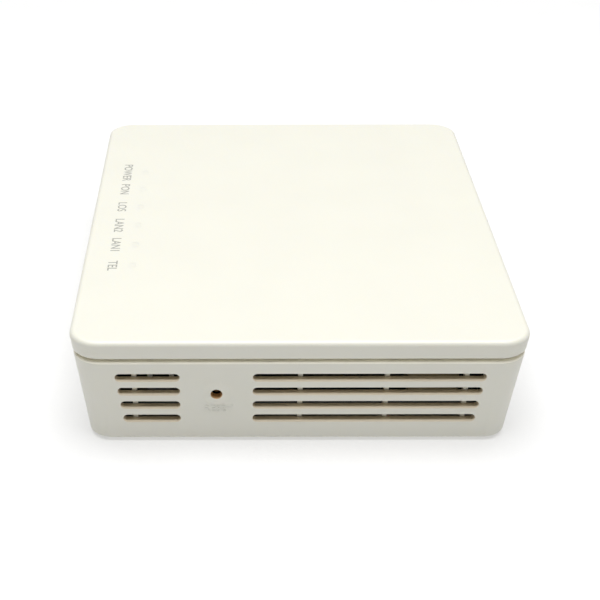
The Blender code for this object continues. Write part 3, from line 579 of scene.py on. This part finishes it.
def make_housing():
    mesh = bmesh.new()
    skin(mesh, edge_sections(BASE_Z, 1, BASE_FILLET)
         + list(reversed(edge_sections(RIM_Z, -1, RIM_FILLET)))
         + [section(RIM_Z, LIP_INSET), section(LIP_TOP_Z, LIP_INSET),
            section(LIP_TOP_Z, LIP_INSET + LIP_WALL), section(RIM_Z - WALL, LIP_INSET + LIP_WALL),
            section(RIM_Z - WALL - LIP_WALL, WALL),
            section(FLOOR_Z + BASE_FILLET, WALL), section(FLOOR_Z, WALL + BASE_FILLET)])
    housing = new_piece("housing_shell", mesh, white)
    # Painted highlight on the housing rim's rounded edge and painted light on the lip, in the seam's groove.
    paint_seam_light(housing, RIM_Z - 0.4 * MM, HOUSING_HIGH[2])

    def ribs(mesh):
        base_z = FLOOR_Z - WALL / 2
        top_z = SLOT_TOP_ROW_Z + SLOT_HEIGHT
        for side in (-1, 1):
            for x in RIB_XS:
                outer_y = half_depth(base_z) - RIB_RECESS
                inner_y = outer_y - RIB_DEPTH
                before = set(mesh.verts)
                add_box(
                    mesh, (x - RIB_WIDTH / 2, min(side * inner_y, side * outer_y), base_z),
                    (x + RIB_WIDTH / 2, max(side * inner_y, side * outer_y), top_z),
                )
                for vert in set(mesh.verts) - before:
                    if vert.co.z > (base_z + top_z) / 2:
                        vert.co.y += side * (half_depth(top_z) - half_depth(base_z))

    def columns(mesh):
        for x, y in corners(*COLUMN_XY):
            add_cylinder(mesh, COLUMN_RADIUS, (x, y, BASE_Z + WALL / 2), (x, y, COLUMN_TOP_Z))

    def slots(mesh):
        for side in (-1, 1):
            for row in range(SLOT_ROWS):
                z = SLOT_TOP_ROW_Z - row * SLOT_PITCH
                add_slot(mesh, side, SHORT_SLOT_MARGIN - half_width(z), SHORT_SLOT_INNER_X, z)
                add_slot(mesh, side, LONG_SLOT_INNER_X, half_width(z) - LONG_SLOT_MARGIN, z)

    def head_holes(mesh):
        for x, y in corners(*COLUMN_XY):
            add_cylinder(mesh, SCREW_HOLE_RADIUS, (x, y, 0), (x, y, SCREW_HOLE_TOP_Z))

    def feet(mesh):
        for x, y in corners(*FOOT_XY):
            add_cylinder(mesh, FOOT_RECESS_RADIUS, (x, y, 0), (x, y, BASE_Z + WALL / 2), sides=64)

    def keyholes(mesh):
        for y in KEYHOLE_YS:
            add_cylinder(mesh, KEYHOLE_RADIUS, (0, y, 0), (0, y, FLOOR_Z + WALL))

    def keyhole_necks(mesh):
        for y in KEYHOLE_YS:
            add_box(
                mesh, (-KEYHOLE_NECK_LENGTH, y - KEYHOLE_NECK_HALF_WIDTH, -WALL),
                (0, y + KEYHOLE_NECK_HALF_WIDTH, FLOOR_Z + 2 * WALL),
                round_axis=2, radius=KEYHOLE_NECK_CORNER,
            )

    def floor_vents(mesh):
        under = Matrix.Rotation(math.pi, 4, "X") @ Matrix.Rotation(math.pi / 2, 4, "Z")
        for index in range(FLOOR_VENT_COUNT):
            x = (index - (FLOOR_VENT_COUNT - 1) / 2) * FLOOR_VENT_PITCH
            place = Matrix.Translation((x, 0, BASE_Z)) @ under
            soft_hole(mesh, place, stadium(*FLOOR_VENT_SIZE), 2 * WALL, HOLE_EDGE)

    def label_recess(mesh):
        add_box(
            mesh, (*LABEL_RECESS_LOW, 0), (*LABEL_RECESS_HIGH, BASE_Z + LABEL_RECESS_DEPTH),
            round_axis=2, radius=LABEL_RECESS_CORNER,
        )

    def reset_collar(mesh):
        steps = 10
        inner = RESET_HOLE_RADIUS / 2
        profile = [(COLLAR_RADIUS, -WALL / 2)]
        for step in range(steps + 1):
            share = step / steps
            radius = COLLAR_RADIUS + (RESET_HOLE_RADIUS - COLLAR_RADIUS) * share
            profile.append((radius, COLLAR_HEIGHT * (1 - math.cos(math.pi * share)) / 2 - 0.01 * MM))
        profile.append((inner, COLLAR_HEIGHT))
        spun(mesh, wall_frame(RESET_X, RESET_Z), profile, sides=96)

    def reset_hole(mesh):
        def loop(depth, grow):
            radius = RESET_HOLE_RADIUS + grow
            outline = [(radius * math.cos(turn), radius * math.sin(turn)) for turn in turns]
            return wall_loop(-1, RESET_X, RESET_Z, outline, depth - COLLAR_HEIGHT)
        turns = [2 * math.pi * index / 64 for index in range(64)]
        loops = [loop(-RESET_MOUTH, RESET_MOUTH)]
        for turn in quarter_turns(4):
            loops.append(loop(RESET_MOUTH * (1 - math.cos(turn)), RESET_MOUTH * (1 - math.sin(turn))))
        skin(mesh, loops + [loop(2 * WALL, 0)])

    # The faces that the slots cut get the painted-shade material.
    cut(housing, slots, slot_painted_shade)
    join(housing, ribs)
    join(housing, columns)
    cut(housing, head_holes)
    cut(housing, feet)
    cut(housing, keyholes)
    cut(housing, keyhole_necks)
    cut(housing, floor_vents)
    cut(housing, label_recess)
    join(housing, reset_collar)
    # The bore's faces get the painted-shade material.
    cut(housing, reset_hole, hole_painted_shade)
    cut(housing, socket_openings)
    smooth(housing)
    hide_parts("bottom_housing")


def socket_openings(mesh):
    """Openings in the +X wall, round the boxes of the sockets behind it, with softly rounded mouths."""
    margin = 0.4 * MM
    edge = HOLE_EDGE
    names = ("lan_jack_1", "lan_jack_2", "tel_jack", "dc_jack", "optical_receptacle", "power_button")
    for name in names:
        low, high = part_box(name)
        width = high[1] - low[1] + 2 * margin
        height = high[2] - low[2] + 2 * margin
        middle_y, middle_z = (low[1] + high[1]) / 2, (low[2] + high[2]) / 2
        corner = 1.4 * MM if name == "power_button" else 0.5 * MM

        def loop(depth, grow):
            outline = rounded_outline(width + 2 * grow, height + 2 * grow, corner + grow, steps=5)
            return [
                (half_width(middle_z + up) - depth, middle_y + along, middle_z + up)
                for along, up in outline
            ]

        loops = [loop(-edge, edge)]
        for turn in quarter_turns(4):
            loops.append(loop(edge * (1 - math.cos(turn)), edge * (1 - math.sin(turn))))
        skin(mesh, loops + [loop(3 * WALL, 0)])


# ---------------------------------------------------------------- sockets, button and adapter

# Each cavity: width, height of its floor and of its roof over the jack's base, and depth.
LAN_CAVITY = (11.8 * MM, 3.4 * MM, 11.4 * MM, 13.0 * MM)
TEL_CAVITY = (9.8 * MM, 3.2 * MM, 10.6 * MM, 11.5 * MM)
# Each step of a latch notch: width, and height of its floor over the jack's base.
LAN_LATCH = ((6.2 * MM, 2.2 * MM), (3.6 * MM, 1.4 * MM))
TEL_LATCH = ((4.0 * MM, 2.2 * MM), (2.8 * MM, 1.4 * MM))
CONTACT_PITCH = 1.02 * MM
CONTACT_WIRE = 0.42 * MM
JACK_FLARE = 0.35 * MM
COMB_START, COMB_END = 1.6 * MM, 6.5 * MM
COMB_HALF_WIDTH = 0.3 * MM
COMB_TOP = 0.7 * MM


def make_jack(node, cavity, latch, count):
    """A modular socket: flared cavity, stepped latch notch below it and a comb for the wires in its roof."""
    low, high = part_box(node)
    width, cavity_low, cavity_high, depth = cavity
    face, middle_y = high[0], (low[1] + high[1]) / 2
    middle_z = (low[2] + high[2]) / 2
    cavity_z = low[2] + (cavity_low + cavity_high) / 2
    jack = built(f"{node}_body", black, lambda mesh: block(
        mesh, outwards_x(face, middle_y, middle_z), high[1] - low[1], high[2] - low[2],
        high[0] - low[0], 0.4 * MM, 0.2 * MM,
    ))

    def hollow(mesh):
        outline = boxed(width, cavity_high - cavity_low, 0.25 * MM)
        soft_hole(mesh, outwards_x(face, middle_y, cavity_z), outline, depth, JACK_FLARE)

    def comb(mesh):
        for index in range(count):
            y = middle_y + (index - (count - 1) / 2) * CONTACT_PITCH
            add_box(
                mesh, (face - COMB_END, y - COMB_HALF_WIDTH, low[2] + cavity_high - MM),
                (face - COMB_START, y + COMB_HALF_WIDTH, low[2] + cavity_high + COMB_TOP),
            )

    cut(jack, hollow)
    for notch_width, notch_low in latch:
        def notch(mesh):
            top = low[2] + cavity_low + MM
            bottom = low[2] + notch_low
            outline = boxed(notch_width, top - bottom, 0.12 * MM)
            place = outwards_x(face, middle_y, (top + bottom) / 2)
            soft_hole(mesh, place, outline, depth - MM, 0.2 * MM)
        cut(jack, notch)
    cut(jack, comb)
    stand_for(jack, "black_plastic", node)


def make_contacts(node, jack, cavity, count):
    """Round spring wires: they rise from a bar at the back, bend at the front and end in the comb."""
    jack_low, jack_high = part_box(jack)
    roof_z = jack_low[2] + cavity[2]
    root_x = jack_high[0] - cavity[3] + 0.6 * MM
    middle_y = (jack_low[1] + jack_high[1]) / 2
    curve = bpy.data.curves.new(node, "CURVE")
    curve.dimensions = "3D"
    curve.bevel_depth = CONTACT_WIRE / 2
    curve.bevel_resolution = 2
    curve.use_fill_caps = True
    # Each wire's shape, in mm: distance in front of the root, and depth below the roof.
    bends = ((0.0, 2.6), (2.2, 2.4), (4.4, 2.0), (6.6, 1.45), (7.7, 1.1), (8.2, 0.7), (8.3, 0.3))
    for index in range(count):
        y = middle_y + (index - (count - 1) / 2) * CONTACT_PITCH
        spline = curve.splines.new("POLY")
        spline.points.add(len(bends) - 1)
        for point, (forward, below) in zip(spline.points, bends):
            point.co = (root_x + forward * MM, y, roof_z - below * MM, 1.0)
    wires = bpy.data.objects.new(f"{node}_wires", curve)
    bpy.context.scene.collection.objects.link(wires)
    data = bpy.data.meshes.new_from_object(wires)
    bpy.data.objects.remove(wires, do_unlink=True)
    mesh = bmesh.new()
    mesh.from_mesh(data)
    bpy.data.meshes.remove(data)
    half = (count - 1) / 2 * CONTACT_PITCH + CONTACT_WIRE
    block(mesh, outwards_x(root_x + 0.4 * MM, middle_y, roof_z - 2.6 * MM), 2 * half, 0.9 * MM, 0.8 * MM,
          0.2 * MM, 0.1 * MM)
    stand_for(new_piece(f"{node}_wires", mesh, gold), "gold", node)


def make_dc_jack():
    """A barrel socket: funnel mouth, round-tipped pin and the side spring that touches the plug."""
    low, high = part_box("dc_jack")
    pin_low, pin_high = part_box("dc_jack_pin")
    face, middle_y = high[0], (low[1] + high[1]) / 2
    axis_z = (pin_low[2] + pin_high[2]) / 2
    pin_radius = (pin_high[2] - pin_low[2]) / 2
    bore_radius, bore_depth = 3.2 * MM, 9.5 * MM
    jack = built("dc_jack_body", black, lambda mesh: block(
        mesh, outwards_x(face, middle_y, (low[2] + high[2]) / 2), high[1] - low[1], high[2] - low[2],
        high[0] - low[0], 0.5 * MM, 0.25 * MM,
    ))
    place = outwards_x(face, middle_y, axis_z)

    def bore(mesh):
        spun(mesh, place, [
            (bore_radius + 0.9 * MM, MM), (bore_radius + 0.45 * MM, 0), (bore_radius, -0.7 * MM),
            (bore_radius, -bore_depth),
        ], sides=64)

    cut(jack, bore)
    stand_for(jack, "black_plastic", "dc_jack")

    def pin(mesh):
        base = pin_low[0] - face
        tip = pin_high[0] - face
        profile = [(pin_radius, base)]
        profile += [
            (pin_radius * math.cos(turn), tip - pin_radius * 0.8 * (1 - math.sin(turn)))
            for turn in quarter_turns(6)[:-1]
        ]
        spun(mesh, place, profile + [(0.05 * MM, tip)], sides=40)

    stand_for(built("dc_jack_pin_turned", steel, pin), "steel", "dc_jack_pin")

    def spring(mesh):
        spring_place = outwards_x(face - 1.6 * MM, middle_y, axis_z - bore_radius + 0.28 * MM)
        block(mesh, spring_place, 2.2 * MM, 0.3 * MM, 7.5 * MM, 0.1 * MM, 0.1 * MM)

    piece = built("dc_jack_spring", tin, spring)
    smooth(piece)


def make_button():
    """The power button's cap, with a shallow finger dish, on a square stem."""
    low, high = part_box("power_button")
    middle_y, middle_z = (low[1] + high[1]) / 2, (low[2] + high[2]) / 2
    size = high[1] - low[1]
    edge = 0.6 * MM
    corner_radius = 1.2 * MM
    cap_depth = 7.0 * MM
    dish_depth = 0.4 * MM
    dish_shares = (0.15, 0.4, 0.65, 0.85, 0.97)
    stem_side = 3.0 * MM
    place = outwards_x(high[0], middle_y, middle_z)

    def loop(z, inset, corner):
        outline = rounded_outline(size - 2 * inset, size - 2 * inset, corner, steps=8)
        return [place @ Vector((x, y, z)) for x, y in outline]

    def cap(mesh):
        loops = [loop(-cap_depth, 0.3 * MM, MM), loop(-cap_depth + 0.3 * MM, 0, corner_radius)]
        for turn in quarter_turns(6):
            inset = edge * (1 - math.cos(turn))
            loops.append(loop(-edge * (1 - math.sin(turn)), inset, corner_radius - inset))
        for share in dish_shares:
            inset = edge + (size / 2 - edge) * share
            dip = dish_depth * math.sin(math.pi / 2 * share)
            loops.append(loop(-dip, inset, (size / 2 - inset) * 0.7))
        skin(mesh, loops)

    def stem(mesh):
        front = high[0] - cap_depth + MM
        block(mesh, outwards_x(front, middle_y, middle_z), stem_side, stem_side, front - low[0],
              0.3 * MM, 0.2 * MM)

    button = built("power_button_cap", grey, cap, "power_button")
    join(button, stem)
    stand_for(button, "grey_plastic", "power_button")


def make_reset_plunger():
    """The reset button's round stem, with a domed tip behind the hole."""
    low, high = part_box("reset_plunger")
    middle_z = (low[2] + high[2]) / 2
    radius, edge = (high[0] - low[0]) / 2, 0.5 * MM
    place = Matrix.Translation((RESET_X, low[1], middle_z)) @ Matrix.Rotation(math.pi / 2, 4, "X")

    def stem(mesh):
        profile = [(radius, low[1] - high[1]), (radius, -edge)]
        profile += [
            (radius - edge * (1 - math.cos(turn)), -edge * (1 - math.sin(turn)))
            for turn in quarter_turns(5)
        ]
        spun(mesh, place, profile, sides=40)

    stand_for(built("reset_plunger_turned", amber, stem, "reset_plunger"), "tan_plastic", "reset_plunger")


def make_adapter():
    """The fibre socket: a chamfered rectangular mouth with a key slot, over the barrel bore."""
    low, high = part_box("optical_receptacle")
    middle_y, middle_z = (low[1] + high[1]) / 2, (low[2] + high[2]) / 2
    axis_z = 15.2 * MM
    mouth_size, mouth_depth = (9.2 * MM, 7.6 * MM), 12.0 * MM
    key_half_width, key_height, key_depth = 1.1 * MM, 4.5 * MM, 8 * MM
    bore_radius = 3.3 * MM
    face = high[0]
    shell = built("optical_adapter", blue, lambda mesh: block(
        mesh, outwards_x(face, middle_y, middle_z), high[1] - low[1], high[2] - low[2], high[0] - low[0],
        0.6 * MM, 0.3 * MM,
    ))

    def plug_space(mesh):
        outline = boxed(*mouth_size, 0.4 * MM)
        soft_hole(mesh, outwards_x(face, middle_y, axis_z), outline, mouth_depth, 0.3 * MM)

    def key_slot(mesh):
        add_box(mesh, (face - key_depth, middle_y - key_half_width, axis_z),
                (face + MM, middle_y + key_half_width, axis_z + key_height))

    def barrel_bore(mesh):
        add_cylinder(mesh, bore_radius, (low[0] - MM, middle_y, axis_z), (face - 2 * MM, middle_y, axis_z))

    cut(shell, plug_space)
    cut(shell, key_slot)
    cut(shell, barrel_bore)
    stand_for(shell, "blue_plastic", "optical_receptacle")


def make_dust_plug():
    """A rubber plug for the fibre socket, with a ridged grip."""
    low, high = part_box("optical_dust_plug")
    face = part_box("optical_receptacle")[1][0]
    middle_y, middle_z = (low[1] + high[1]) / 2, (low[2] + high[2]) / 2
    width, height = high[1] - low[1], high[2] - low[2]
    shank_front, shank_size = face + 1.8 * MM, (8.4 * MM, 6.8 * MM)
    groove_radius, groove_pitch, groove_half_height = 0.32 * MM, 1.3 * MM, height * 0.36
    groove_x = high[0] + 0.12 * MM

    def shank(mesh):
        block(mesh, outwards_x(shank_front, middle_y, middle_z), *shank_size, shank_front - low[0],
              0.8 * MM, 0.4 * MM)

    def grip(mesh):
        block(mesh, outwards_x(high[0], middle_y, middle_z), width, height, high[0] - face - 1.3 * MM,
              1.2 * MM, 0.35 * MM)

    def grooves(mesh):
        for index in range(-3, 4):
            y = middle_y + index * groove_pitch
            add_cylinder(
                mesh, groove_radius, (groove_x, y, middle_z - groove_half_height),
                (groove_x, y, middle_z + groove_half_height), sides=20,
            )

    plug = built("dust_plug_grip", rubber, grip, "dust_plug")
    join(plug, shank)
    cut(plug, grooves)
    stand_for(plug, "grey_rubber", "optical_dust_plug")


def make_feet():
    """Domed rubber feet, each in its recess."""
    for index in range(1, 5):
        low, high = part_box(f"rubber_foot_{index}")
        middle = Vector(((low[0] + high[0]) / 2, (low[1] + high[1]) / 2, low[2]))
        radius, edge = (high[0] - low[0]) / 2, 0.5 * MM

        def pad(mesh):
            profile = [(radius * 0.35, 0.02 * MM), (radius - edge, 0)]
            profile += [
                (radius - edge * (1 - math.sin(turn)), edge * (1 - math.cos(turn)))
                for turn in quarter_turns(5)[1:]
            ]
            spun(mesh, Matrix.Translation(middle), profile + [(radius, high[2] - low[2])], sides=72)

        stand_for(built(f"foot_{index}", rubber, pad), "grey_rubber", f"rubber_foot_{index}")


def make_case_screws():
    """Pan-head screws with a cross recess, seen down the holes in the base."""
    for index in range(1, 5):
        low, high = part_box(f"case_screw_{index}")
        x, y = (low[0] + high[0]) / 2, (low[1] + high[1]) / 2
        head, shank = (high[0] - low[0]) / 2, 1.0 * MM
        cross_half_length, cross_half_width, cross_depth = 1.15 * MM, 0.28 * MM, 0.9 * MM
        place = Matrix.Translation((x, y, low[2]))

        def screw(mesh):
            profile = [(head * 0.4, 0)]
            profile += [
                (head * 0.4 + head * 0.6 * math.sin(turn), 0.6 * MM * (1 - math.cos(turn)))
                for turn in quarter_turns(5)[1:]
            ]
            profile += [(head, 1.6 * MM), (shank, 1.7 * MM), (shank, high[2] - low[2] - 1.2 * MM)]
            spun(mesh, place, profile + [(0.3 * MM, high[2] - low[2])], sides=40)

        piece = built(f"case_screw_{index}_turned", steel, screw)
        arms = ((cross_half_length, cross_half_width), (cross_half_width, cross_half_length))
        for half_x, half_y in arms:
            cut(piece, lambda mesh: add_box(
                mesh, (x - half_x, y - half_y, low[2] - MM),
                (x + half_x, y + half_y, low[2] + cross_depth),
            ))
        stand_for(piece, "steel", f"case_screw_{index}")


def make_header():
    """The test header by the vents: a dark base with two rows of pins between two white ears."""
    low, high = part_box("debug_header")
    ear, base_height = 1.1 * MM, 2.6 * MM
    pin_columns, pin_pitch, pin_row_y = 3, 1.27 * MM, 0.8 * MM
    pin_side, pin_top, pin_length = 0.5 * MM, 3.9 * MM, 1.8 * MM
    middle_x, middle_y = (low[0] + high[0]) / 2, (low[1] + high[1]) / 2
    top = Matrix.Translation((middle_x, middle_y, low[2] + base_height))
    base = built("header_base", chip, lambda mesh: block(
        mesh, top, high[0] - low[0], high[1] - low[1], base_height, 0.2 * MM, 0.12 * MM))
    stand_for(base, "black_plastic", "debug_header")

    def ears(mesh):
        for x in (low[0] + ear / 2, high[0] - ear / 2):
            block(mesh, Matrix.Translation((x, middle_y, high[2])), ear, high[1] - low[1] - MM,
                  high[2] - low[2] - base_height + 0.1 * MM, 0.2 * MM, 0.12 * MM)

    def pins(mesh):
        for column in range(pin_columns):
            for row in (-pin_row_y, pin_row_y):
                x = middle_x + (column - (pin_columns - 1) / 2) * pin_pitch
                block(mesh, Matrix.Translation((x, middle_y + row, low[2] + pin_top)), pin_side, pin_side,
                      pin_length, 0.08 * MM, 0.08 * MM)

    stand_for(built("header_ears", white, ears), "white_plastic", "debug_header")
    stand_for(built("header_pins", tin, pins), "tinned_steel", "debug_header")


# ---------------------------------------------------------------- lettering

def word(text, name, place, height, material, relief):
    """A printed or raised word: its middle is at place, and it stands along place's +Z."""
    curve = bpy.data.curves.new(name, "FONT")
    curve.body = text
    curve.align_x = "CENTER"
    curve.align_y = "CENTER"
    curve.size = height / CAP_SHARE
    curve.extrude = relief
    curve.offset = STROKE_GROWTH * height
    curve.resolution_u = 4
    piece = bpy.data.objects.new(name, curve)
    bpy.context.scene.collection.objects.link(piece)
    data = bpy.data.meshes.new_from_object(piece)
    bpy.data.objects.remove(piece, do_unlink=True)
    piece = bpy.data.objects.new(name, data)
    bpy.context.scene.collection.objects.link(piece)
    piece.data.transform(place)
    data.materials.clear()
    data.materials.append(material)
    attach(piece, "case")
    return piece


def make_lettering():
    """Plain function words: beside the lamps, under the reset hole and over the sockets."""
    for text, y in zip(LAMP_WORDS, lamp_ys()):
        place = Matrix.Translation((LABEL_X, y, TOP_Z)) @ Matrix.Rotation(-math.pi / 2, 4, "Z")
        piece = word(text, f"label_{text.lower()}", place, LETTER_HEIGHT, print_grey, 0.008 * MM)
    under_hole = wall_frame(RESET_X + 0.4 * MM, RESET_Z - 4.6 * MM)
    piece = word("RESET", "label_reset", under_hole, RESET_LETTER_HEIGHT, white, 0.09 * MM)
    word_z = TOP_Z - 2.8 * MM
    for text, name, node in SOCKET_WORDS:
        low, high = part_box(node)
        place = Matrix.Translation((half_width(word_z), (low[1] + high[1]) / 2, word_z))
        place @= Matrix.Rotation(math.pi / 2, 4, "Z") @ Matrix.Rotation(math.pi / 2 + SIDE_LEAN, 4, "X")
        piece = word(text, f"label_{name}", place, SOCKET_LETTER_HEIGHT, white, 0.1 * MM)


# ---------------------------------------------------------------- stage

FLOOR_HALF_SIZE = 3.0
FLOOR_GLOW = 0.42
WORLD_STRENGTH = 0.06
OVERHEAD_WATTS = 38.2
OVERHEAD_SIZE = (1.4, 1.4)
OVERHEAD_PLACE = (0.0, -0.11, 1.5)
CAMERA_PLACE = (-15.6 * MM, -334.6 * MM, 188.4 * MM)
CAMERA_DOWN = 28.96
CAMERA_ROLL = -0.1
CAMERA_LENS = 81.25
CAMERA_SHIFT_X = 0.1119
PLAIN_WHITE = (1.0, 1.0, 1.0, 1.0)


def add_light(name, energy, size, place, aim):
    data = bpy.data.lights.new(name, "AREA")
    data.shape = "RECTANGLE"
    data.size, data.size_y = size
    data.energy = energy
    lamp = bpy.data.objects.new(name, data)
    lamp.location = place
    lamp.rotation_euler = (Vector(aim) - Vector(place)).to_track_quat("-Z", "Y").to_euler()
    bpy.context.scene.collection.objects.link(lamp)


def make_stage():
    """A pale floor that glows weakly, one soft light overhead, and the photograph's camera."""
    floor_material = grained("light_table", (0.46, 0.46, 0.458), 0.8, relief=0.05, grain=900.0, mottle=0.004)
    shader = floor_material.node_tree.nodes["Principled BSDF"]
    shader.inputs["Emission Color"].default_value = PLAIN_WHITE
    shader.inputs["Emission Strength"].default_value = FLOOR_GLOW
    mesh = bmesh.new()
    bmesh.ops.create_grid(mesh, x_segments=1, y_segments=1, size=FLOOR_HALF_SIZE)
    floor = new_piece("floor", mesh, floor_material, body=None)

    world = bpy.data.worlds.new("studio")
    world.use_nodes = True
    world.node_tree.nodes["Background"].inputs["Color"].default_value = PLAIN_WHITE
    world.node_tree.nodes["Background"].inputs["Strength"].default_value = WORLD_STRENGTH
    bpy.context.scene.world = world
    add_light("overhead", OVERHEAD_WATTS, OVERHEAD_SIZE, OVERHEAD_PLACE, (0, 0, 0))

    camera = bpy.data.cameras.new("camera")
    camera.sensor_width = 36.0
    camera.lens = CAMERA_LENS
    camera.shift_x = CAMERA_SHIFT_X
    camera.clip_start = 0.01
    camera.dof.use_dof = False
    viewer = bpy.data.objects.new("camera", camera)
    pitch = Matrix.Rotation(math.radians(90 - CAMERA_DOWN), 4, "X")
    roll = Matrix.Rotation(math.radians(CAMERA_ROLL), 4, "Z")
    viewer.matrix_world = Matrix.Translation(CAMERA_PLACE) @ pitch @ roll
    bpy.context.scene.collection.objects.link(viewer)
    bpy.context.scene.camera = viewer
    bpy.context.scene.view_settings.view_transform = "Standard"


# ---------------------------------------------------------------- assembly

dress_cad_nodes()
make_cover()
make_light_guide()
make_housing()
make_jack("tel_jack", TEL_CAVITY, TEL_LATCH, 4)
make_contacts("tel_contacts", "tel_jack", TEL_CAVITY, 4)
for number in (1, 2):
    make_jack(f"lan_jack_{number}", LAN_CAVITY, LAN_LATCH, 8)
    make_contacts(f"lan_contacts_{number}", f"lan_jack_{number}", LAN_CAVITY, 8)
make_dc_jack()
make_adapter()
make_dust_plug()
make_button()
make_reset_plunger()
make_feet()
make_case_screws()
make_header()
make_lettering()
make_stage()
